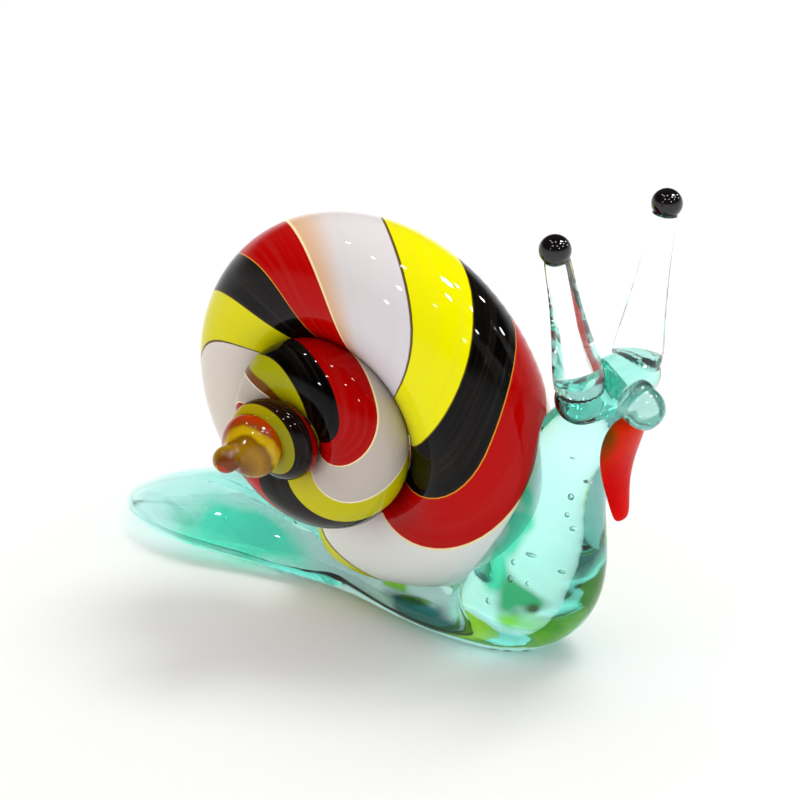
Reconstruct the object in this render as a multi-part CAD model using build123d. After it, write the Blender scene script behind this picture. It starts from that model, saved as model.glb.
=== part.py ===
from build123d import *
import math
import os

# Driving dimensions, in millimetres and degrees. The head is towards +X, the spire towards -Y.

# Shell, one striped cane wound into a narrowing spiral whose turns touch
coil_radius = 10.35
coil_rise = 14.2
coil_turns = 3.4
coil_setback = 1.0
mouth_angle = -118.0
mouth_offset = 0.25
mouth_round = 3.4
shell_droop = 4.6
sole_thickness = 1.3
whorl_gap = 0.08
knob_radius = 0.9

# Stripes, four colours laid along the cane and twisted with it
stripe_shares = {"white": 0.34, "red": 0.22, "black": 0.20, "yellow": 0.24}
stripe_start = 156.6
twists_per_turn = 3.0
twist_fade_share = 0.08
stripe_drag = 20.0
stripe_drag_side = 140.0

# Body, one gather drawn out into tail, foot, breast, neck and head
tail_reach = 24.4
tail_width = 10.0
tail_thickness = 5.0
waist_width = 4.8
foot_width = 7.8
foot_thickness = 3.6
sole_cut = 0.4
breast_bend = 6.3
breast_swell = 1.2
neck_width = 7.0
neck_bite = 3.2
head_height = 17.9
head_lean = 4.4

# Head pieces
saddle_radius = 1.75
saddle_lift = 1.75
tentacle_base_spread = 2.6
tentacle_base_radius = 1.75
tentacle_tip_radius = 0.82
eye_spread = 5.6
eye_height = 29.6
eye_radius = 1.0
eye_seat = 0.35
snout_radius = 1.45
snout_bite = 0.3
tongue_length = 6.2
tongue_width = 4.2
tongue_thickness = 1.3
tongue_swing = 0.85
tongue_lead = 0.35
tongue_root = 0.6

# Clearance between pieces that are fused together
fuse_gap = 0.03

# Shares that shape the outlines, chosen by eye
# Shell spiral at every half turn from the mouth: coil radius, cane radius, rise
spiral_shares = (
    (1.000, 1.000, 0.000),
    (0.814, 0.923, 0.261),
    (0.527, 0.736, 0.437),
    (0.311, 0.552, 0.575),
    (0.184, 0.371, 0.708),
    (0.135, 0.287, 0.826),
    (0.115, 0.249, 0.914),
    (0.106, 0.233, 1.000),
)
# Tail stations from the tip: reach, width, thickness
tail_shares = (
    (1.00, 0.06, 0.14),
    (0.97, 0.30, 0.32),
    (0.89, 0.66, 0.60),
    (0.76, 0.94, 0.86),
    (0.60, 1.00, 1.00),
    (0.44, 0.72, 0.80),
)
# Foot stations from the tail to the breast: place, width from waist to foot
foot_shares = ((0.18, 0.10), (0.36, 0.10), (0.54, 0.50), (0.72, 0.85), (0.88, 1.00))
# Neck stations from the breast up: lean, rise, width
neck_shares = (
    (0.00, 0.00, 1.00),
    (0.05, 0.28, 0.88),
    (0.19, 0.56, 0.76),
    (0.46, 0.81, 0.68),
    (0.84, 0.97, 0.60),
    (1.15, 1.03, 0.34),
)
# Tentacle stations from the base: place, radius from tip to base
tentacle_shares = ((0.00, 1.00), (0.34, 0.55), (0.66, 0.15), (1.00, 0.00))
# Tongue stations from the root: drop, swing, width
tongue_shares = (
    (0.00, 0.00, 0.60),
    (0.22, 0.55, 1.00),
    (0.48, 1.00, 0.92),
    (0.74, 0.85, 0.58),
    (0.94, 0.50, 0.34),
    (1.00, 0.42, 0.14),
)
# Rounded first end of the cane: places along its length
mouth_shares = (0.06, 0.25, 0.55)

# Counts
full_turn = 360.0
shares_per_turn = 2
sections_per_turn = 36
bend_steps = 4
oval_points = 12


# Shell spiral: the coil closes in on its axis as it rises, and the cane thins with it

droop = math.radians(shell_droop)
shell_axis = Vector(0, -math.cos(droop), -math.sin(droop))
shell_right = Vector(1, 0, 0)
shell_up = Vector(0, -math.sin(droop), math.cos(droop))
mouth_turns = mouth_round / (2 * math.pi * coil_radius)


def spiral(turn):
    # Coil radius, cane radius and rise at a turn, as shares, on a smooth curve through the table
    index = min(int(turn * shares_per_turn), len(spiral_shares) - 2)
    part = turn * shares_per_turn - index
    low, high = spiral_shares[index : index + 2]
    before = spiral_shares[max(index - 1, 0)]
    after = spiral_shares[min(index + 2, len(spiral_shares) - 1)]
    blend = part**2 * (3 - 2 * part)
    leave = part * (1 - part) ** 2 / 2
    arrive = part**2 * (1 - part) / 2
    values = []
    for first, start, end, last in zip(before, low, high, after):
        values.append(start + (end - start) * blend + (end - first) * leave - (last - start) * arrive)
    return values


def outward(turn):
    angle = math.radians(mouth_angle + full_turn * turn)
    return shell_right * math.cos(angle) + shell_up * math.sin(angle)


def coil_point(turn):
    ring_share, cane_share, rise_share = spiral(turn)
    return outward(turn) * (coil_radius * ring_share) + shell_axis * (coil_rise * rise_share)


def thickest_cane():
    # The cane may not cut into its own turns, nor cross the axis
    count = math.floor(coil_turns * sections_per_turn)
    turns = [step / sections_per_turn for step in range(1, count + 1)]
    points = [coil_point(turn) for turn in turns]
    shares = [spiral(turn) for turn in turns]
    limits = []
    for ring_share, cane_share, rise_share in shares:
        limits.append((coil_radius * ring_share - whorl_gap / 2) / cane_share)
    for index, point in enumerate(points):
        for other in range(index + sections_per_turn // 2, len(points)):
            room = (points[other] - point).length - whorl_gap
            limits.append(room / (shares[index][1] + shares[other][1]))
    return min(limits)


cane_radius = thickest_cane()


def full_radius(turn):
    return cane_radius * spiral(turn)[1]


def outer_radius(turn):
    along = min(turn / mouth_turns, 1)
    return full_radius(turn) * math.sqrt(1 - (1 - along) ** 2)


def reach(turn, direction):
    # How far the cane's ring at this turn goes in a direction, from the start of the axis
    tilt = math.hypot(outward(turn).dot(direction), shell_axis.dot(direction))
    return coil_point(turn).dot(direction) + full_radius(turn) * tilt


first_turn = [step / sections_per_turn for step in range(sections_per_turn + 1)]
shell_depth = max(reach(turn, Vector(0, 0, -1)) for turn in first_turn)
coil_start = Vector(-coil_setback, mouth_offset, sole_thickness + shell_depth)
shell_front = coil_start.X + max(reach(turn, shell_right) for turn in first_turn)


def cane_point(turn, angle, radius):
    turned = math.radians(angle)
    across = outward(turn) * math.cos(turned) + shell_axis * math.sin(turned)
    return coil_start + coil_point(turn) + across * radius


def wedge(turn, low, high, radius):
    # One rod of the fused bundle, as a slice of the cane's round section
    middle = (low + high) / 2
    heart = cane_point(turn, middle, fuse_gap)
    rise = Edge.make_line(heart, cane_point(turn, low, radius))
    crown = Edge.make_three_point_arc(*(cane_point(turn, at, radius) for at in (low, middle, high)))
    fall = Edge.make_line(cane_point(turn, high, radius), heart)
    return Wire([rise, crown, fall])


def ring(turn, radius):
    quarter = full_turn / 4
    arcs = []
    for step in range(4):
        angles = [quarter * (step + share) for share in (0, 1 / 2, 1)]
        arcs.append(Edge.make_three_point_arc(*(cane_point(turn, at, radius) for at in angles)))
    return Wire(arcs)


def cane_turns(last):
    start = [mouth_turns * share for share in mouth_shares]
    run = last - mouth_turns
    count = math.ceil(run * sections_per_turn)
    return start + [mouth_turns + run * step / count for step in range(count + 1)]


def stripe_edge(share, turn):
    twist = twists_per_turn * turn * (1 - twist_fade_share * turn)
    angle = stripe_start + full_turn * (share - twist)
    return angle + stripe_drag * math.sin(math.radians(angle + stripe_drag_side))


def shell_stripe(low_share, high_share):
    sections = []
    for turn in cane_turns(coil_turns):
        slack = math.degrees(fuse_gap / 2 / full_radius(turn))
        low = stripe_edge(low_share, turn) + slack
        high = stripe_edge(high_share, turn) - slack
        sections.append(wedge(turn, low, high, outer_radius(turn)))
    return Solid.make_loft(sections)


def shell_seat():
    # The first turn of the cane, grown by the clearance, that the body is fused around
    turns = cane_turns(1 - mouth_turns)
    return Solid.make_loft([ring(turn, outer_radius(turn) + fuse_gap) for turn in turns])


def apex_knob():
    # A bead on the shell axis that closes the tip and rests on the end of the cane
    ring_share, cane_share, rise_share = spiral(coil_turns)
    reach_across = knob_radius + cane_radius * cane_share + fuse_gap
    stand = math.sqrt(max(reach_across**2 - (coil_radius * ring_share) ** 2, 0))
    centre = coil_start + shell_axis * (coil_rise * rise_share + stand)
    return Pos(*centre) * Sphere(knob_radius)


# Body: oval stations along a spine that runs forward on the ground, bends up and leans into the head

foot_mid = foot_thickness / 2 - sole_cut
neck_x = shell_front + neck_width / 2 - neck_bite
bend_x = neck_x - breast_bend
bend_z = foot_mid + breast_bend


def oval(centre, forward, width, thickness):
    plane = Plane(centre, x_dir=(0, 1, 0), z_dir=forward)
    angles = [2 * math.pi * step / oval_points for step in range(oval_points)]
    points = [Vector(width / 2 * math.cos(at), thickness / 2 * math.sin(at), 0) for at in angles]
    return Wire(Edge.make_spline([plane.from_local_coords(point) for point in points], periodic=True))


def neck_point(lean, rise):
    return Vector(neck_x + head_lean * lean, 0, bend_z + (head_height - bend_z) * rise)


def body_stations():
    stations = []
    for place, width, thickness in tail_shares:
        deep = tail_thickness * thickness
        height = (tail_thickness / 2 - sole_cut) * thickness
        stations.append((Vector(-tail_reach * place, 0, height), tail_width * width, deep))
    foot_start = -tail_reach * tail_shares[-1][0]
    for place, swell in foot_shares:
        centre = Vector(foot_start + (bend_x - foot_start) * place, 0, foot_mid)
        stations.append((centre, waist_width + (foot_width - waist_width) * swell, foot_thickness))
    for step in range(bend_steps):
        done = step / bend_steps
        angle = math.radians(full_turn / 4 * done)
        centre = Vector(bend_x + breast_bend * math.sin(angle), 0, bend_z - breast_bend * math.cos(angle))
        width = foot_width + (neck_width - foot_width) * done
        deep = foot_thickness + (neck_width - foot_thickness) * math.sin(angle)
        deep += breast_swell * math.sin(2 * angle)
        stations.append((centre, width, deep))
    for lean, rise, width in neck_shares:
        stations.append((neck_point(lean, rise), neck_width * width, neck_width * width))
    return stations


def body_gather():
    stations = body_stations()
    centres = [centre for centre, width, deep in stations]
    sections = []
    for index, (centre, width, deep) in enumerate(stations):
        ahead = centres[min(index + 1, len(centres) - 1)]
        behind = centres[max(index - 1, 0)]
        sections.append(oval(centre, ahead - behind, width, deep))
    return Solid.make_loft(sections)


# Head pieces, seated on the end of the neck

head_centre = neck_point(*neck_shares[-2][:2])
head_end = neck_point(*neck_shares[-1][:2])
head_forward = (head_end - head_centre).normalized()
snout_centre = head_end + head_forward * (snout_radius - snout_bite)
saddle_centre = head_centre + Vector(0, 0, saddle_lift)


def saddle(grown):
    radius = saddle_radius + grown
    bar = Cylinder(radius, 2 * tentacle_base_spread, rotation=(90, 0, 0))
    ends = [Pos(0, side * tentacle_base_spread, 0) * Sphere(radius) for side in (-1, 1)]
    return Pos(*saddle_centre) * (bar + ends)


def snout(grown):
    return Pos(*snout_centre) * Sphere(snout_radius + grown)


def eye_centre(side):
    return Vector(saddle_centre.X, side * eye_spread, eye_height)


def eye(side, grown):
    return Pos(*eye_centre(side)) * Sphere(eye_radius + grown)


def tentacle(side):
    base = saddle_centre + Vector(0, side * tentacle_base_spread, 0)
    up = (eye_centre(side) - base).normalized()
    tip = eye_centre(side) - up * eye_seat
    sections = []
    for place, swell in tentacle_shares:
        radius = tentacle_tip_radius + (tentacle_base_radius - tentacle_tip_radius) * swell
        plane = Plane(base + (tip - base) * place, x_dir=(1, 0, 0), z_dir=up)
        sections.append(Wire(Edge.make_circle(radius, plane)))
    return Solid.make_loft(sections) - saddle(fuse_gap) - eye(side, fuse_gap)


def tongue():
    top = snout_centre + Vector(tongue_lead, 0, tongue_root - snout_radius)
    drop = tongue_length + tongue_root
    centres = []
    for place, swing, width in tongue_shares:
        centres.append(top - Vector(tongue_swing * swing, 0, drop * place))
    sections = []
    for index, (place, swing, width) in enumerate(tongue_shares):
        ahead = centres[min(index + 1, len(centres) - 1)]
        behind = centres[max(index - 1, 0)]
        sections.append(oval(centres[index], ahead - behind, tongue_width * width, tongue_thickness * width))
    return Solid.make_loft(sections) - snout(fuse_gap)


def body():
    ground = Pos(0, 0, -tail_reach) * Box(4 * tail_reach, 2 * tail_reach, 2 * tail_reach)
    seated = body_gather() - ground - shell_seat()
    return seated - saddle(fuse_gap) - snout(fuse_gap)


# Write every piece to its own file

pieces = {"body": body()}
low_share = 0
for colour, share in stripe_shares.items():
    pieces["shell_stripe_" + colour] = shell_stripe(low_share, low_share + share)
    low_share += share
pieces["apex_knob"] = apex_knob()
pieces["head_saddle"] = saddle(0)
for name, side in (("right", -1), ("left", 1)):
    pieces["tentacle_" + name] = tentacle(side)
    pieces["eye_" + name] = eye(side, 0)
pieces["snout_bead"] = snout(0) - saddle(fuse_gap)
pieces["tongue"] = tongue()

os.makedirs("parts", exist_ok=True)
for name, piece in pieces.items():
    export_step(piece, f"parts/{name}.step")
print("cane radius", round(cane_radius, 3), "shell front", round(shell_front, 3), "neck", round(neck_x, 3))
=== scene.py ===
import math

import bpy
import numpy as np
from mathutils import Matrix, Vector


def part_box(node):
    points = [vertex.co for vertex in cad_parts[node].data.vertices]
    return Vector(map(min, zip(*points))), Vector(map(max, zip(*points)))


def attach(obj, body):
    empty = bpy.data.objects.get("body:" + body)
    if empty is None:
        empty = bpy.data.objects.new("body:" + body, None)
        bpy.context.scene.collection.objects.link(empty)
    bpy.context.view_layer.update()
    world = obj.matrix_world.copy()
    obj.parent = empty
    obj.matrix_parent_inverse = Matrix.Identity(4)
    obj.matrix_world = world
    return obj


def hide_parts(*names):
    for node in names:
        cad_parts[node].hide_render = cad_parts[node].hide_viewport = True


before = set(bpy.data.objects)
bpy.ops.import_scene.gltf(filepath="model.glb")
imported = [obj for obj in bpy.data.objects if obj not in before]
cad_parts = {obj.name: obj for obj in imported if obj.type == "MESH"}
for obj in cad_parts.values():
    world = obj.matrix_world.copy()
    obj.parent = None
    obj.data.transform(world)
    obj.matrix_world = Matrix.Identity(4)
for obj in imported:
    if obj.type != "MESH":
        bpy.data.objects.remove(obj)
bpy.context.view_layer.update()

# Body: one gather of clear aqua glass, drawn out hot into tail, foot, breast, neck and head and set down
# on a flat plate while soft. The shell is fused to its back, so the glass closes round the cane.
mm = 0.001
body_low, body_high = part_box("body")
tail_reach = -body_low.x
tail_width = 10.0 * mm
tail_thickness = 5.0 * mm
waist_width = 3.2 * mm
foot_width = 7.8 * mm
foot_thickness = 3.6 * mm
sole_cut = 0.4 * mm
sole_round = 0.25 * mm
cut_tolerance = 0.0001 * mm
crease_angle = math.radians(40)
breast_bend = 6.3 * mm
breast_swell = 1.2 * mm
neck_x = 12.85 * mm
neck_width = 7.0 * mm
head_height = 17.9 * mm
head_lean = 4.4 * mm
# Along the tail from its tip: place, width, thickness
tail_shares = ((1.00, 0.06, 0.14), (0.97, 0.30, 0.32), (0.89, 0.66, 0.60),
               (0.76, 0.94, 0.86), (0.60, 1.00, 1.00), (0.44, 0.72, 0.80))
# Along the foot: place, swell from the waist to the full width
foot_shares = ((0.10, 0.74), (0.24, 0.46), (0.40, 0.34), (0.56, 0.55), (0.72, 0.85), (0.88, 1.00))
# Up the neck: lean, rise, width, extra depth towards the shell
neck_shares = ((0.00, 0.00, 1.00, 0.26), (0.05, 0.28, 0.88, 0.22), (0.19, 0.56, 0.76, 0.10),
               (0.46, 0.81, 0.68, 0.02), (0.84, 0.97, 0.60, 0.00), (1.15, 1.03, 0.34, 0.00))
foot_mid = foot_thickness / 2 - sole_cut
bend_x = neck_x - breast_bend
bend_z = foot_mid + breast_bend
bend_steps = 4
ring_points = 24


class Shade:
    """A value in a glass recipe. Arithmetic on it adds Math nodes to the recipe."""

    def __init__(self, tree, socket=None):
        self.tree = tree
        self.socket = socket

    def node(self, kind, settings, sockets, out=0):
        made = self.tree.nodes.new(kind)
        for name, value in settings.items():
            if name == "stops":
                while len(made.color_ramp.elements) < len(value):
                    made.color_ramp.elements.new(1)
                for stop, (place, colour) in zip(made.color_ramp.elements, value):
                    stop.position = place
                    stop.color = (*colour, 1)
            else:
                setattr(made, name, value)
        for name, value in sockets.items():
            if isinstance(value, Shade):
                self.tree.links.new(value.socket, made.inputs[name])
            else:
                made.inputs[name].default_value = value
        return Shade(self.tree, made.outputs[out])

    def maths(self, operation, *values):
        return self.node("ShaderNodeMath", {"operation": operation}, dict(enumerate(values)))

    def mix(self, share, low, high):
        """Two colours mixed. The node's sockets 6, 7 and 2 are its colour inputs and output."""
        low, high = [value if isinstance(value, Shade) else (*value, 1) for value in (low, high)]
        return self.node("ShaderNodeMix", {"data_type": "RGBA"}, {"Factor": share, 6: low, 7: high}, 2)

    def band(self, start, end):
        """0 before start, 1 after end, smooth between."""
        limits = {"Value": self, "From Min": start, "From Max": end}
        return self.node("ShaderNodeMapRange", {"interpolation_type": "SMOOTHSTEP"}, limits)

    def place(self):
        """Where a point lies on its piece."""
        return self.node("ShaderNodeTexCoord", {}, {}, "Object")

    def along(self, axis):
        """A place measured along X, Y or Z."""
        return self.node("ShaderNodeSeparateXYZ", {}, {"Vector": self}, axis)

    def __add__(self, other):
        return self.maths("ADD", self, other)

    def __sub__(self, other):
        return self.maths("SUBTRACT", self, other)

    def __rsub__(self, other):
        return self.maths("SUBTRACT", other, self)

    def __mul__(self, other):
        return self.maths("MULTIPLY", self, other)

    __radd__ = __add__
    __rmul__ = __mul__


def tint(red, green, blue):
    """A colour as the eye reads it, 0 to 255, in the renderer's linear scale."""
    return tuple((value / 255) ** 2.2 for value in (red, green, blue))


def glass(name, fixed):
    """A new glass recipe: its material, its shading sheet and its surface, with the fixed values set."""
    material = bpy.data.materials.new(name)
    material.use_nodes = True
    tree = material.node_tree
    surface = tree.nodes["Principled BSDF"]
    for socket, value in fixed.items():
        surface.inputs[socket].default_value = value
    return material, Shade(tree), surface


def feed(recipe, surface, socket, value):
    recipe.tree.links.new(value.socket, surface.inputs[socket])


def hand_wave(recipe, scale, depth):
    """The slow waviness of glass shaped by hand, as a bump."""
    wave = recipe.node("ShaderNodeTexNoise", {}, {"Vector": recipe.place(), "Scale": scale, "Detail": 2.0})
    return recipe.node("ShaderNodeBump", {}, {"Strength": 0.25, "Distance": depth, "Height": wave}), wave


def absorb(material, colour, density):
    """Colour in the depth of the glass, so thick stretches look stronger."""
    tree = material.node_tree
    depth = tree.nodes.new("ShaderNodeVolumeAbsorption")
    depth.inputs["Color"].default_value = (*colour, 1)
    depth.inputs["Density"].default_value = density
    tree.links.new(depth.outputs[0], tree.nodes["Material Output"].inputs["Volume"])


patch_drift = 5.0 * mm
patch_edge = (0.55, 1.15)


def clear_glass(name, colour, deep_colour, density, tint_and_shade_patches=(), bending=1.5):
    """Clear glass. A patch is an oval of tint mixed into the base colour: its middle, half sizes and colour. In the
    body most patches are painted shade and painted refraction.
    """
    material, recipe, surface = glass(name, {"Transmission Weight": 1.0, "IOR": bending})
    wave, cloud = hand_wave(recipe, scale=350.0, depth=0.15 * mm)
    colours = recipe.mix(cloud, colour, (1.0, 1.0, 1.0))
    place = recipe.place()
    run = Vector((patch_drift,) * 3)
    drift = recipe.node("ShaderNodeTexNoise", {}, {"Vector": place, "Scale": 260.0, "Detail": 1.0}, "Color")
    drawn = recipe.node("ShaderNodeVectorMath", {"operation": "MULTIPLY_ADD"}, {0: drift, 1: run, 2: place})
    for middle, half, patch_colour in tint_and_shade_patches:
        centre = Vector(middle) * mm + run / 2
        offset = recipe.node("ShaderNodeVectorMath", {"operation": "SUBTRACT"}, {0: drawn, 1: centre})
        share = recipe.node("ShaderNodeVectorMath", {"operation": "DIVIDE"}, {0: offset, 1: Vector(half) * mm})
        away = recipe.node("ShaderNodeVectorMath", {"operation": "LENGTH"}, {0: share}, "Value")
        # Each patch's colour is mixed into the base colour; in the body most patches are painted shade and painted
        # refraction
        colours = recipe.mix(1 - away.band(*patch_edge), colours, patch_colour)
    feed(recipe, surface, "Base Color", colours)
    feed(recipe, surface, "Roughness", cloud * 0.02)
    feed(recipe, surface, "Normal", wave)
    absorb(material, deep_colour, density)
    return material


def oval(centre, forward, width, thickness):
    """One ring of points across a run of glass, added to the mesh that is being edited."""
    ahead = forward.normalized()
    across = Vector((1, 0, 0)) if abs(ahead.y) > abs(ahead.x) + abs(ahead.z) else Vector((0, 1, 0))
    side = (across - ahead * ahead.dot(across)).normalized()
    turn = Matrix((side, ahead.cross(side), ahead)).transposed()
    bpy.ops.mesh.primitive_circle_add(vertices=ring_points, radius=1 / 2, location=centre, rotation=turn.to_euler())
    bpy.ops.transform.resize(value=(width, thickness, 1), orient_type="LOCAL", orient_matrix=turn,
                             orient_matrix_type="LOCAL", center_override=centre)


def drawn_glass(name, rings):
    """A run of glass through oval rings: bridged from ring to ring, closed at both ends and smoothed."""
    bpy.ops.object.select_all(action="DESELECT")
    bpy.ops.object.add(type="MESH")
    piece = bpy.context.object
    piece.name = name
    bpy.ops.object.mode_set(mode="EDIT")
    for ring in rings:
        oval(*ring)
    bpy.ops.mesh.select_all(action="SELECT")
    bpy.ops.mesh.bridge_edge_loops(type="SINGLE")
    bpy.ops.mesh.select_all(action="DESELECT")
    bpy.ops.mesh.select_non_manifold()
    bpy.ops.mesh.edge_face_add()
    bpy.ops.mesh.select_all(action="SELECT")
    bpy.ops.mesh.normals_make_consistent(inside=False)
    bpy.ops.object.mode_set(mode="OBJECT")
    smooth = piece.modifiers.new("smooth", "SUBSURF")
    smooth.levels = smooth.render_levels = 2
    bpy.ops.object.modifier_apply(modifier=smooth.name)
    bpy.ops.object.shade_smooth()
    return piece


def with_directions(stations):
    """Each station's ring with the way the glass runs there, from its neighbours."""
    rings = []
    for index, (centre, width, thickness) in enumerate(stations):
        ahead = stations[min(index + 1, len(stations) - 1)][0]
        behind = stations[max(index - 1, 0)][0]
        rings.append((centre, ahead - behind, width, thickness))
    return rings


def finish_piece(piece, material, slot, *nodes):
    piece.data.materials.clear()
    piece.data.materials.append(material)
    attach(piece, "root")
    if nodes:
        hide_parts(*nodes)


stations = []
for place, width, thickness in tail_shares:
    height = (tail_thickness / 2 - sole_cut) * thickness
    stations.append((Vector((-tail_reach * place, 0, height)), tail_width * width, tail_thickness * thickness))
foot_start = -tail_reach * tail_shares[-1][0]
for place, swell in foot_shares:
    centre = Vector((foot_start + (bend_x - foot_start) * place, 0, foot_mid))
    stations.append((centre, waist_width + (foot_width - waist_width) * swell, foot_thickness))
for step in range(bend_steps):
    done = step / bend_steps
    angle = math.pi / 2 * done
    extra = neck_width * neck_shares[0][3] * math.sin(angle)
    bend = breast_bend - extra / 2
    centre = Vector((bend_x + bend * math.sin(angle), 0, bend_z - bend * math.cos(angle)))
    deep = foot_thickness + (neck_width - foot_thickness) * math.sin(angle) + breast_swell * math.sin(2 * angle)
    stations.append((centre, foot_width + (neck_width - foot_width) * done, deep + extra))
for lean, rise, width, extra in neck_shares:
    centre = Vector((neck_x + head_lean * lean - neck_width * extra / 2, 0, bend_z + (head_height - bend_z) * rise))
    stations.append((centre, neck_width * width, neck_width * (width + extra)))
body = drawn_glass("glass_body", with_directions(stations))
bpy.ops.object.mode_set(mode="EDIT")
bpy.ops.mesh.select_all(action="SELECT")
bpy.ops.mesh.bisect(plane_co=(0, 0, 0), plane_no=(0, 0, 1), clear_inner=True, use_fill=True,
                    threshold=cut_tolerance)
bpy.ops.mesh.bevel(offset=sole_round, segments=3, affect="EDGES")
bpy.ops.object.mode_set(mode="OBJECT")
bpy.ops.object.shade_smooth_by_angle(angle=crease_angle)
aqua_deep = (0.15, 0.90, 0.82)
aqua_density = 100.0
# Oval patches of tint in the gather: a deeper teal in the tail core; three teal patches up the neck, dark green and
# near black in the breast and navy in the foot, which are painted shade where the glass shows the dark shell and
# the shadow under it; lime at breast and waist, which is the yellow stripe seen through the glass, painted as a
# refraction. Middle and half sizes in mm
aqua_tint_and_painted_shade_patches = (((-11.0, -3.2, 2.4), (6.6, 2.8, 3.4), tint(58, 232, 180)),
               ((10.4, -3.2, 7.4), (1.5, 1.8, 2.0), tint(38, 205, 150)),
               ((11.6, -3.1, 9.6), (1.5, 1.8, 2.0), tint(38, 205, 150)),
               ((12.7, -3.0, 12.2), (1.4, 1.8, 2.2), tint(38, 205, 150)),
               ((11.8, -3.4, 5.4), (1.7, 1.8, 2.3), tint(20, 120, 60)),
               ((12.4, -3.4, 4.4), (0.7, 1.8, 1.3), tint(26, 40, 16)),
               ((12.7, -3.5, 3.3), (1.9, 1.6, 1.0), tint(110, 190, 12)),
               ((2.2, -3.2, 3.0), (2.1, 2.0, 0.7), tint(110, 190, 12)),
               ((5.6, -3.8, 1.9), (4.4, 2.2, 1.7), tint(24, 66, 74)))
# The tail thins out towards its tip and lets more light through there
tail_thins = (-24.0 * mm, -13.0 * mm)
tip_cover = 0.2
aqua_body = clear_glass("aqua_body_glass", tint(225, 252, 248), aqua_deep, aqua_density, aqua_tint_and_painted_shade_patches, bending=1.4)
recipe = Shade(aqua_body.node_tree)
surface = aqua_body.node_tree.nodes["Principled BSDF"]
cover = tip_cover + (1 - tip_cover) * recipe.place().along("X").band(*tail_thins)
feed(recipe, surface, "Alpha", cover)
finish_piece(body, aqua_body, "aqua_glass", "body")

# Shell: a bundle of four coloured glass rods, fused, twisted and wound hot into a narrowing spiral whose
# turns touch. Each rod is one stripe, a slice of the round cane that runs from the mouth to the tip.
coil_radius = 10.35 * mm
coil_rise = 14.2 * mm
cane_radius = 4.62 * mm
coil_turns = 3.4
coil_start = Vector((-1.0 * mm, 0.25 * mm, 15.87 * mm))
mouth_angle = math.radians(-118)
mouth_length = 3.4 * mm
mouth_turns = mouth_length / (2 * math.pi * coil_radius)
cane_end = 2.95
tip_turns = 0.30
shell_droop = math.radians(4.6)
# Every half turn from the mouth: coil radius, cane radius, rise
spiral_shares = ((1.000, 1.020, 0.000), (0.808, 0.955, 0.261), (0.527, 0.736, 0.437), (0.311, 0.552, 0.575),
                 (0.184, 0.371, 0.708), (0.135, 0.287, 0.826), (0.115, 0.249, 0.914), (0.106, 0.233, 1.000))
shares_per_turn = 2
rod_steps_per_turn = 96
rod_columns = 20
mouth_steps = 10
weld_distance = 0.001 * mm
shell_axis = Vector((0, -math.cos(shell_droop), -math.sin(shell_droop)))
shell_right = Vector((1, 0, 0))
shell_up = Vector((0, -math.sin(shell_droop), math.cos(shell_droop)))
# How far round the four colours have come, in rounds of the bundle, at turns from the mouth: the twist was
# given by hand, quick at first, uneven on the second turn and nearly none on the last
twist_turns = (0.00, 0.19, 0.275, 0.362, 0.42, 0.544, 0.607, 0.678, 0.745, 0.93, 0.985, 1.113, 1.185, 1.28,
               1.348, 1.522, 1.675, 1.742, 1.85, 1.98, 2.68, 3.00, 3.40)
twist_rounds = (-0.12, 0.34, 0.56, 0.76, 1.00, 1.34, 1.56, 1.76, 2.00, 2.34, 2.56, 2.76, 3.00, 3.34,
                3.56, 3.76, 4.00, 4.34, 4.56, 4.76, 5.00, 5.25, 5.60)
twist_blur = 0.03
stripe_starts = {"white": 0.00, "red": 0.34, "black": 0.56, "yellow": 0.76}
stripe_names = tuple(stripe_starts)
stripe_front = math.radians(90.6)
stripe_drag = math.radians(20)
stripe_drag_side = math.radians(140)


def spiral(turn):
    """Coil radius, cane radius and rise at a turn, as shares, on a smooth curve through the table."""
    index = min(int(turn * shares_per_turn), len(spiral_shares) - 2)
    part = turn * shares_per_turn - index
    low, high = spiral_shares[index:index + 2]
    before = spiral_shares[max(index - 1, 0)]
    after = spiral_shares[min(index + 2, len(spiral_shares) - 1)]
    blend = part**2 * (3 - 2 * part)
    leave = part * (1 - part)**2 / 2
    arrive = part**2 * (1 - part) / 2
    return [start + (end - start) * blend + (end - first) * leave - (last - start) * arrive
            for first, start, end, last in zip(before, low, high, after)]


def outward(turn):
    angle = mouth_angle + 2 * math.pi * turn
    return shell_right * math.cos(angle) + shell_up * math.sin(angle)


def coil_point(turn):
    ring_share, cane_share, rise_share = spiral(turn)
    return coil_start + outward(turn) * (coil_radius * ring_share) + shell_axis * (coil_rise * rise_share)


def round_radius(turn):
    left_out = max(1 - turn / mouth_turns, 1 - (cane_end - turn) / tip_turns, 0)
    return cane_radius * spiral(turn)[1] * math.sqrt(1 - min(left_out, 0.98)**2)


def edge_angle(colour, turn):
    """Angle round the cane of the edge where a stripe begins."""
    near = np.linspace(turn - twist_blur, turn + twist_blur, 7)
    rounds = float(np.interp(near, twist_turns, twist_rounds).mean())
    angle = stripe_front + 2 * math.pi * (stripe_starts[colour] - rounds)
    return angle + stripe_drag * math.sin(angle + stripe_drag_side)


def rod_turns():
    """Turns at which a rod has a row of points, closer together round its two blunt ends."""
    turns = [mouth_turns * (1 - math.cos(math.pi / 2 * step / mouth_steps)) for step in range(mouth_steps)]
    run = cane_end - tip_turns - mouth_turns
    count = math.ceil(run * rod_steps_per_turn)
    turns += [mouth_turns + run * step / count for step in range(count)]
    tip = [tip_turns * math.cos(math.pi / 2 * step / mouth_steps) for step in range(mouth_steps + 1)]
    return turns + [cane_end - left for left in tip]


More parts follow.
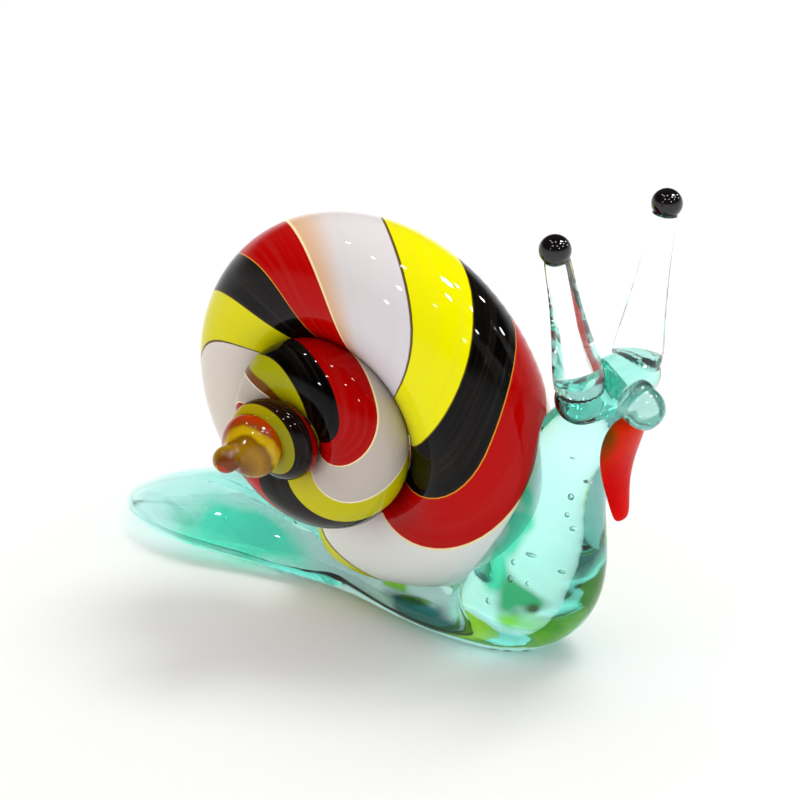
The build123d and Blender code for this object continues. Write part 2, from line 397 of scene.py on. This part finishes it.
def wound_rod(colour):
    """One stripe: a flat grid rolled into a wedge and laid along the spiral row by row."""
    turns = rod_turns()
    after = stripe_names[(stripe_names.index(colour) + 1) % len(stripe_names)]
    last_column = rod_columns + 2
    bpy.ops.object.select_all(action="DESELECT")
    bpy.ops.mesh.primitive_grid_add(x_subdivisions=len(turns) - 1, y_subdivisions=last_column, size=1)
    piece = bpy.context.object
    piece.name = "stripe_" + colour
    laid = piece.data.uv_layers[0]
    where = []
    for vertex in piece.data.vertices:
        row = round((vertex.co.x + 1 / 2) * (len(turns) - 1))
        column = round((vertex.co.y + 1 / 2) * last_column)
        turn = turns[row]
        low = edge_angle(colour, turn)
        high = edge_angle(after, turn)
        if after == stripe_names[0]:
            high = edge_angle(after, turn) + 2 * math.pi
        across = min(max((column - 1) / rod_columns, 0), 1)
        angle = low + (high - low) * across
        radius = 0 if column in (0, last_column) else round_radius(turn)
        aside = outward(turn) * math.cos(angle) + shell_axis * math.sin(angle)
        vertex.co = coil_point(turn) + aside * radius
        where.append((turn / coil_turns, across))
    for loop in piece.data.loops:
        laid.uv[loop.index].vector = where[loop.vertex_index]
    bpy.ops.object.mode_set(mode="EDIT")
    bpy.ops.mesh.select_all(action="SELECT")
    bpy.ops.mesh.remove_doubles(threshold=weld_distance)
    bpy.ops.mesh.select_all(action="DESELECT")
    bpy.ops.mesh.select_non_manifold()
    bpy.ops.mesh.edge_face_add()
    bpy.ops.mesh.select_all(action="SELECT")
    bpy.ops.mesh.normals_make_consistent(inside=False)
    bpy.ops.object.mode_set(mode="OBJECT")
    bpy.ops.object.shade_smooth_by_angle(angle=crease_angle)
    return piece


# Colour of each stripe at turns from the mouth, as shares of the whole cane
tint_places = (0.00, 0.12, 0.24, 0.36, 0.46, 0.72, 0.84, 0.92)
stripe_tints = {
    "white": ((226, 230, 222), (213, 208, 213), (213, 202, 190), (184, 174, 164), (186, 174, 164),
              (166, 146, 106), (128, 84, 44), (150, 92, 48)),
    "red": ((174, 2, 3), (178, 2, 3), (172, 1, 2), (168, 1, 2), (158, 2, 3), (140, 8, 6),
            (196, 44, 8), (190, 70, 20)),
    "black": ((9, 6, 5), (8, 5, 4), (9, 6, 6), (7, 6, 5), (7, 6, 5), (20, 9, 7),
              (80, 42, 14), (120, 66, 24)),
    # The yellow's lighter second stop, at the top of the first turn, is painted light: the top of the shell where
    # the light falls on it
    "yellow": ((216, 212, 2), (236, 230, 2), (210, 200, 4), (186, 180, 4), (158, 156, 6), (138, 132, 8),
               (190, 150, 10), (206, 164, 20)),
}
# Thin line of mixed glass along a stripe's first and last edge: width as a share of the stripe, colour near
# the mouth, colour further up
seams = {
    "white": ((0.018, (104, 84, 54), (246, 232, 206)), (0.020, (242, 220, 168), (242, 220, 168))),
    "red": ((0.024, (242, 220, 168), (242, 220, 168)), (0.014, (220, 130, 30), (120, 20, 8))),
    "black": ((0.014, (226, 150, 40), (40, 20, 8)), (0.012, (60, 44, 8), (40, 30, 8))),
    "yellow": ((0.018, (130, 110, 8), (90, 80, 8)), (0.024, (90, 74, 40), (246, 232, 206))),
}


def stripe_glass(colour):
    """Opaque coloured glass: strongest near the mouth, thinner and browner towards the tip."""
    shine = 0.09 if colour == "red" else 0.13
    material, recipe, surface = glass(colour + "_glass", {"IOR": 1.52, "Specular IOR Level": shine})
    laid = recipe.node("ShaderNodeUVMap", {}, {})
    along = laid.along("X")
    across = laid.along("Y")
    wave, cloud = hand_wave(recipe, scale=220.0, depth=0.2 * mm)
    stops = [(place, tint(*shade)) for place, shade in zip(tint_places, stripe_tints[colour])]
    colours = recipe.node("ShaderNodeValToRGB", {"stops": stops}, {"Fac": along})
    pulled = recipe.node("ShaderNodeCombineXYZ", {}, {"X": along * 9.0, "Y": across * 4.0})
    streaks = recipe.node("ShaderNodeTexNoise", {}, {"Vector": pulled, "Scale": 2.0, "Detail": 1.0})
    colours = recipe.mix(streaks.band(0.40, 0.80) * 0.04, colours, tint(150, 130, 116))
    if colour == "white":
        warmed = across.band(0.60, 1.00) * along.band(0.12, 0.15) * (1 - along.band(0.19, 0.22))
        colours = recipe.mix(warmed, colours, tint(216, 172, 136))
    if colour == "yellow":
        browned = across.band(0.58, 0.68) * along.band(0.43, 0.46) * (1 - along.band(0.50, 0.54))
        colours = recipe.mix(browned, colours, tint(112, 66, 14))
    (first_share, *first), (last_share, *last) = seams[colour]
    further_up = along.band(0.25, 0.30)
    first_line, last_line = [recipe.mix(further_up, tint(*low), tint(*high)) for low, high in (first, last)]
    colours = recipe.mix(1 - across.band(first_share / 2, first_share), colours, first_line)
    colours = recipe.mix(across.band(1 - last_share, 1 - last_share / 2), colours, last_line)
    feed(recipe, surface, "Base Color", colours)
    feed(recipe, surface, "Roughness", cloud * 0.04 + 0.01)
    feed(recipe, surface, "Normal", wave)
    return material


for colour in stripe_names:
    finish_piece(wound_rod(colour), stripe_glass(colour), colour + "_glass", "shell_stripe_" + colour)

# Tip of the spire: the end of the cane, melted into a barrel of amber glass with a little knob where it was
# burnt off the rod. The four colours run thin in it as yellow and orange swirls.
knob_low, knob_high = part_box("apex_knob")
knob_centre = (knob_low + knob_high) / 2
knob_radius = (knob_high.x - knob_low.x) / 2
# Along the spire from the middle of the knob, and radius, in radii of the knob
tip_shares = ((-4.10, 1.60), (-3.40, 2.20), (-2.50, 2.38), (-1.75, 2.12), (-1.20, 1.55), (-0.82, 0.98),
              (-0.45, 0.92), (0.05, 1.00), (0.55, 0.82), (0.86, 0.46), (0.99, 0.14))
melted = []
for place, radius in tip_shares:
    width = 2 * knob_radius * radius
    melted.append((knob_centre + shell_axis * (knob_radius * place), width, width))
knob = drawn_glass("spire_tip", with_directions(melted))
tip_fixed = {"IOR": 1.5, "Transmission Weight": 0.25, "Specular IOR Level": 0.25}
amber, recipe, surface = glass("amber_swirl_glass", tip_fixed)
wave, cloud = hand_wave(recipe, scale=500.0, depth=0.1 * mm)
# The swirl in rounds: one round about the spire, and more along it
swirl_per_length = 0.22 / mm
swirl_start = 0.24
place = recipe.place()
x, y, z = [place.along(axis) for axis in "XYZ"]
rise = z - y * math.tan(shell_droop) - (knob_centre.z - knob_centre.y * math.tan(shell_droop))
turned = recipe.maths("ARCTAN2", rise, x - knob_centre.x) * (1 / (2 * math.pi))
swirl = recipe.maths("FRACT", turned + y * swirl_per_length + cloud * 0.25 + swirl_start)
swirl_tints = ((0.00, (118, 76, 4)), (0.22, (168, 122, 14)), (0.36, (136, 90, 4)), (0.42, (214, 176, 8)),
               (0.50, (206, 160, 8)), (0.56, (150, 70, 10)), (0.70, (190, 52, 8)), (0.80, (124, 60, 12)))
stops = [(at, tint(*shade)) for at, shade in swirl_tints]
feed(recipe, surface, "Base Color", recipe.node("ShaderNodeValToRGB", {"stops": stops}, {"Fac": swirl}))
feed(recipe, surface, "Roughness", cloud * 0.04)
feed(recipe, surface, "Normal", wave)
finish_piece(knob, amber, "amber_glass", "apex_knob")

# Head saddle: a short roll of aqua glass, wound on hot across the top of the head and fused to it, thick
# enough to carry both tentacles.
saddle_low, saddle_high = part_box("head_saddle")
saddle_centre = (saddle_low + saddle_high) / 2
saddle_width = saddle_high.x - saddle_low.x
saddle_half = (saddle_high.y - saddle_low.y) / 2
saddle_shares = ((-1.00, 0.20), (-0.95, 0.55), (-0.80, 0.90), (-0.50, 1.00), (0.00, 1.02),
                 (0.50, 1.00), (0.80, 0.90), (0.95, 0.55), (1.00, 0.20))
rolled = []
for place, width in saddle_shares:
    centre = saddle_centre + Vector((0, saddle_half * place, 0))
    rolled.append((centre, saddle_width * width, saddle_width * width))
saddle = drawn_glass("head_saddle_roll", with_directions(rolled))
aqua = clear_glass("aqua_saddle_glass", tint(190, 238, 226), aqua_deep, 2 * aqua_density)
finish_piece(saddle, aqua, "aqua_glass", "head_saddle")

# Tentacles and eyes: clear glass pulled up from the saddle with a rod and left to taper, one on each side. A
# touch of black glass is melted on each end and drawn round by its own tension, as the eye.
tentacle_base_width = 3.5 * mm
tentacle_tip_width = 1.64 * mm
eye_stretch = (1.0, 1.0, 0.96)
# Up the tentacle: place, swell from the tip's width to the base's
tentacle_shares = ((0.00, 1.00), (0.20, 0.80), (0.40, 0.46), (0.62, 0.17), (0.82, 0.04), (0.97, 0.00),
                   (1.00, -0.30))
clear = clear_glass("clear_glass", tint(246, 252, 252), (0.72, 0.93, 0.91), 25.0)


def bead(name, centre, width, stretch):
    """A fire-polished bead: a ball, pulled out a little along one way and smoothed."""
    bpy.ops.object.select_all(action="DESELECT")
    bpy.ops.mesh.primitive_ico_sphere_add(subdivisions=3, radius=width / 2, location=centre)
    piece = bpy.context.object
    piece.name = name
    bpy.ops.object.mode_set(mode="EDIT")
    bpy.ops.transform.resize(value=stretch, center_override=centre)
    bpy.ops.object.mode_set(mode="OBJECT")
    bpy.ops.object.transform_apply(location=True, rotation=True, scale=True)
    smooth = piece.modifiers.new("smooth", "SUBSURF")
    smooth.levels = smooth.render_levels = 1
    bpy.ops.object.modifier_apply(modifier=smooth.name)
    bpy.ops.object.shade_smooth()
    return piece


eye_material, recipe, surface = glass("eye_glass", {"IOR": 1.5, "Coat Weight": 0.1})
wave, cloud = hand_wave(recipe, scale=600.0, depth=0.01 * mm)
feed(recipe, surface, "Base Color", recipe.mix(cloud, tint(10, 6, 8), tint(24, 14, 16)))
feed(recipe, surface, "Roughness", cloud * 0.03)
feed(recipe, surface, "Normal", wave)
for side_name, side in (("right", -1), ("left", 1)):
    eye_low, eye_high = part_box("eye_" + side_name)
    eye_centre = (eye_low + eye_high) / 2
    eye_width = eye_high.z - eye_low.z
    base = saddle_centre + Vector((0, side * (saddle_half - saddle_width / 2), 0))
    pulled = []
    for place, swell in tentacle_shares:
        width = tentacle_tip_width + (tentacle_base_width - tentacle_tip_width) * swell
        pulled.append((base + (eye_centre - base) * place, width, width))
    tentacle = drawn_glass("tentacle_glass_" + side_name, with_directions(pulled))
    finish_piece(tentacle, clear, "clear_glass", "tentacle_" + side_name)
    eye = bead("eye_bead_" + side_name, eye_centre, eye_width, eye_stretch)
    finish_piece(eye, eye_material, "eye_glass", "eye_" + side_name)

# Snout: a bead of clear, slightly aqua glass, pressed on the end of the head while hot so that it slopes
# down and forward, with a soft waist where it was pinched.
snout_low, snout_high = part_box("snout_bead")
snout_centre = (snout_low + snout_high) / 2
snout_width = snout_high.z - snout_low.z
snout_way = Vector((0.86, 0.0, -0.51))
# Along the snout from the head: place, width
snout_shares = ((-0.46, 0.50), (-0.40, 0.82), (-0.26, 0.96), (-0.12, 0.97), (-0.04, 0.90), (0.06, 0.93),
                (0.22, 0.90), (0.40, 0.72), (0.50, 0.46), (0.54, 0.18))
pressed = []
for place, width in snout_shares:
    across = snout_width * width
    pressed.append((snout_centre + snout_way * (snout_width * place), across, across))
snout = drawn_glass("snout_glass", with_directions(pressed))
# The bead's base colour is a darker grey aqua: partly the bead's own stronger aqua, partly painted shade for the
# darker surroundings seen through it
snout_material = clear_glass("snout_clear_glass", tint(152, 186, 177), aqua_deep, 2 * aqua_density)
finish_piece(snout, snout_material, "clear_glass", "snout_bead")

# Tongue: a touch of opaque red glass hung under the snout, fused there at its top and squeezed flat with
# tweezers while hot.
tongue_low, tongue_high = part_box("tongue")
tongue_width = 4.2 * mm
tongue_thickness = 1.4 * mm
# Down the tongue: drop, swing back, width
tongue_shares = ((0.00, 0.00, 0.60), (0.06, 0.15, 0.88), (0.20, 0.50, 1.00), (0.42, 0.95, 0.84),
                 (0.65, 0.95, 0.58), (0.87, 0.60, 0.44), (0.97, 0.45, 0.34), (1.00, 0.42, 0.16))
tongue_height = tongue_high.z - tongue_low.z
tongue_swing = 0.85 * mm
tongue_front = tongue_high.x - 1.1 * mm
tongue_aside = -0.5 * mm
hung = []
for drop, swing, width in tongue_shares:
    centre = Vector((tongue_front - tongue_swing * swing, tongue_aside, tongue_high.z - tongue_height * drop))
    hung.append((centre, tongue_width * width, tongue_thickness * width))
tongue = drawn_glass("tongue_glass", with_directions(hung))
tongue_material, recipe, surface = glass("tongue_red_glass", {"IOR": 1.5, "Specular IOR Level": 0.04})
wave, cloud = hand_wave(recipe, scale=500.0, depth=0.1 * mm)
place = recipe.place()
up = place.along("Z")
aside = place.along("Y")
colours = recipe.mix(cloud.band(0.35, 0.7), tint(208, 12, 2), tint(180, 3, 1))
# The orange towards the top is a painted glow of light shining down through the red glass; the darker olive at the
# left of the top is painted shade
painted_glow_top = up.band(tongue_low.z + tongue_height * 0.45, tongue_high.z)
colours = recipe.mix(painted_glow_top * 0.6, colours, tint(200, 50, 6))
painted_shade_edge = 1 - aside.band(tongue_aside - tongue_width * 0.46, tongue_aside - tongue_width * 0.24)
colours = recipe.mix(painted_shade_edge * painted_glow_top, colours, tint(86, 62, 8))
feed(recipe, surface, "Base Color", colours)
feed(recipe, surface, "Roughness", cloud * 0.06 + 0.02)
feed(recipe, surface, "Normal", wave)
finish_piece(tongue, tongue_material, "tongue_glass", "tongue")

# Air bubbles: small ones caught in the gather when the glass was folded. They were strung out in the neck and
# foot as it was drawn, and every third one was pulled long. Places and widths in mm
bubble_places = ((15.9, -1.0, 13.2), (15.0, -1.5, 12.1), (14.5, -1.2, 10.7), (12.6, -2.0, 7.7), (11.6, -2.4, 7.0),
                 (11.5, -2.6, 5.9), (14.4, -1.5, 6.9), (9.8, -2.5, 3.8), (12.5, -2.2, 5.8), (14.7, -0.8, 14.6),
                 (13.2, 0.8, 9.0), (-14.0, -1.5, 1.8), (-17.5, 0.8, 1.6))
bubble_widths = (0.52, 0.44, 0.34, 0.50, 0.36, 0.46, 0.40, 0.42, 0.30, 0.22, 0.36, 0.34, 0.26)
long_pull = (1.5, 0.8, 0.6)
round_pull = (0.9, 0.9, 1.1)
long_one_in = 3
bubbles = []
for number, (place, width) in enumerate(zip(bubble_places, bubble_widths)):
    pull = long_pull if number % long_one_in == 0 else round_pull
    bubbles.append(bead("air_bubble", Vector(place) * mm, width * mm, pull))
bpy.ops.object.select_all(action="DESELECT")
for bubble in bubbles:
    bubble.select_set(True)
bpy.context.view_layer.objects.active = bubbles[0]
bpy.ops.object.join()
air = bpy.context.object
air.name = "air_bubbles"
air_material, recipe, surface = glass("air_in_glass", {"Transmission Weight": 1.0, "IOR": 1 / 1.5})
wave, cloud = hand_wave(recipe, scale=2000.0, depth=0.02 * mm)
feed(recipe, surface, "Base Color", recipe.mix(cloud, (0.97, 1.0, 0.99), (1.0, 1.0, 1.0)))
feed(recipe, surface, "Roughness", cloud * 0.01)
feed(recipe, surface, "Normal", wave)
finish_piece(air, air_material, "aqua_glass")

# Studio: a white table that keeps the snail's shadow, a dark hall above it with a scatter of small lamps that
# leave the bright dots on the glass, and one broad soft light from above right.
table_half = 400 * mm
bpy.ops.object.select_all(action="DESELECT")
bpy.ops.mesh.primitive_plane_add(size=2 * table_half, location=(0, 0, 0))
table = bpy.context.object
table.name = "table"
table_paint, recipe, surface = glass("table_white", {"Roughness": 1.0, "Specular IOR Level": 0.0})
grain = recipe.node("ShaderNodeTexNoise", {}, {"Scale": 40.0})
paint = recipe.mix(grain, (0.93, 0.93, 0.93), (0.95, 0.95, 0.95))
# Seen directly the paint is a little darker, so that the lit table is just white and keeps the shadow
paint_seen = (0.81, 0.815, 0.805)
seen_by_camera = recipe.node("ShaderNodeLightPath", {}, {}, "Is Camera Ray")
feed(recipe, surface, "Base Color", recipe.mix(seen_by_camera, paint, paint_seen))
table.data.materials.append(table_paint)

world = bpy.data.worlds.new("hall")
bpy.context.scene.world = world
world.use_nodes = True
hall = Shade(world.node_tree)
light = world.node_tree.nodes["Background"]
seen_by_camera = hall.node("ShaderNodeLightPath", {}, {}, "Is Camera Ray")
seen_by_matt = hall.node("ShaderNodeLightPath", {}, {}, "Is Diffuse Ray")
seen_in_gloss = hall.node("ShaderNodeLightPath", {}, {}, "Is Glossy Ray")
seen_through = hall.node("ShaderNodeLightPath", {}, {}, "Is Transmission Ray")
upward = hall.node("ShaderNodeTexCoord", {}, {}, "Generated").along("Z")
above = upward.band(0.02, 0.30)
fill = 0.95
# The hall overhead is nearly dark in reflections and a little darker through the glass
gloss_dark = 0.92
through_dark = 0.25
gloss = seen_in_gloss * (1 - seen_through) * (1 - above * gloss_dark)
through = seen_through * (1 - above * through_dark)
hall.tree.links.new((seen_by_camera + seen_by_matt * fill + gloss + through).socket, light.inputs["Strength"])
light.inputs["Color"].default_value = (1, 1, 1, 1)


lamp_aim = Vector((0, 0, 12 * mm))


def lamp(name, azimuth, elevation, distance, width, power):
    """A round lamp that faces the snail. Azimuth 0 is the snail's right side, 90 its front."""
    across = math.cos(math.radians(elevation))
    towards = Vector((math.sin(math.radians(azimuth)) * across, -math.cos(math.radians(azimuth)) * across,
                      math.sin(math.radians(elevation))))
    bpy.ops.object.light_add(type="AREA", location=towards * distance + lamp_aim)
    made = bpy.context.object
    made.name = name
    made.data.shape = "DISK"
    made.data.size = width
    made.data.energy = power
    made.rotation_euler = towards.to_track_quat("Z", "Y").to_euler()
    return made


soft = lamp("soft_light", azimuth=152, elevation=68, distance=450 * mm, width=190 * mm, power=0.8)
soft.visible_glossy = False
soft.visible_transmission = False
# Hall lamps: azimuth, elevation, width in mm. They only show as bright dots in the glass
hall_lamps = ((163, 30, 18), (150, 22, 18), (139, 58, 48), (147, 50, 18), (128, 44, 18), (60, 50, 18),
              (103, 57, 26), (103, 36, 18), (60, 80, 18), (-20, 72, 18), (72, 31, 18), (4, 26, 18),
              (-70, 66, 18), (20, 52, 18))
hall_distance = 350 * mm
usual_width = 18
usual_power = 0.08
for azimuth, elevation, width in hall_lamps:
    power = usual_power * (width / usual_width)**2
    small = lamp("hall_lamp", azimuth, elevation, hall_distance, width * mm, power)
    small.visible_diffuse = False

# Camera: a little above the table, from the snail's right front, with a long lens. Its picture shows one
# millimetre of the snail as 15.5 of 800 pixels.
azimuth = math.radians(40)
elevation = math.radians(22)
camera_distance = 210 * mm
aim = Vector((0, 0, 14.1 * mm))
picture_scale = 15.5
picture_side = 800
level = math.cos(elevation)
back = Vector((math.sin(azimuth) * level, -math.cos(azimuth) * level, math.sin(elevation)))
lens = bpy.data.cameras.new("camera")
camera = bpy.data.objects.new("camera", lens)
bpy.context.collection.objects.link(camera)
camera.location = aim + back * camera_distance
camera.rotation_euler = back.to_track_quat("Z", "Y").to_euler()
lens.sensor_width = 36
lens.lens = picture_scale / mm * camera_distance / picture_side * lens.sensor_width
lens.clip_start = 1 * mm
bpy.context.scene.camera = camera
bpy.context.scene.view_settings.view_transform = "Standard"
bpy.context.scene.cycles.transmission_bounces = 20
bpy.context.scene.cycles.max_bounces = 24
